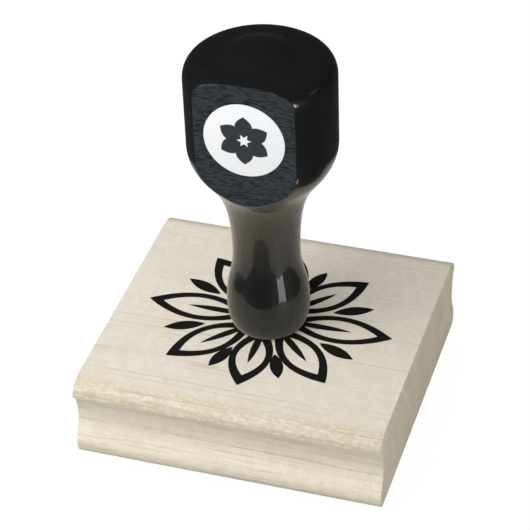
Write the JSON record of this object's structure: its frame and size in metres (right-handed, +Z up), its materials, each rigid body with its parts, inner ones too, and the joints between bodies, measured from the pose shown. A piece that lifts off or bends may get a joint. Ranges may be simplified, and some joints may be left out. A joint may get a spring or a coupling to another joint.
{
  "type": "rubber stamp",
  "caption": "Wood-mounted rubber stamp: moulded maple block, turned black handle with a flat and a round label, and a cushioned rubber die with a floral relief.",
  "frame": {"origin": "on the axis of the handle, in the plane of the face that prints", "axes": "+X along the moulded edges, -Y towards the front, where the handle's flat faces, +Z up the handle"},
  "size_m": [0.061, 0.0588, 0.0849],
  "materials": {
    "maple": "bare sanded maple with fine straight grain",
    "black_paint": "gloss black enamel on turned hardwood, satin on the flat",
    "label_paper": "coated white label stock",
    "zinc_steel": "bright zinc plate",
    "adhesive_film": "translucent double-sided film",
    "foam": "matte closed-cell foam",
    "die_rubber": "matte vulcanised rubber",
    "ink": "flat black printing ink"
  },
  "bodies": {
    "mount": {"mount_block": "maple", "handle": "black_paint", "handle_label": "label_paper", "handle_screw": "zinc_steel", "block_adhesive_film": "adhesive_film", "cushion_foam": "foam"},
    "printing_die": {"die_adhesive_film": "adhesive_film", "rubber_die": "die_rubber"}
  },
  "joints": [
    {"name": "die_press", "type": "slide", "parent": "mount", "child": "printing_die", "axis": [0, 0, 1], "range_m": [0, 0.0008], "stiffness_N_per_m": 30000, "deforming": ["cushion_foam"]}
  ]
}
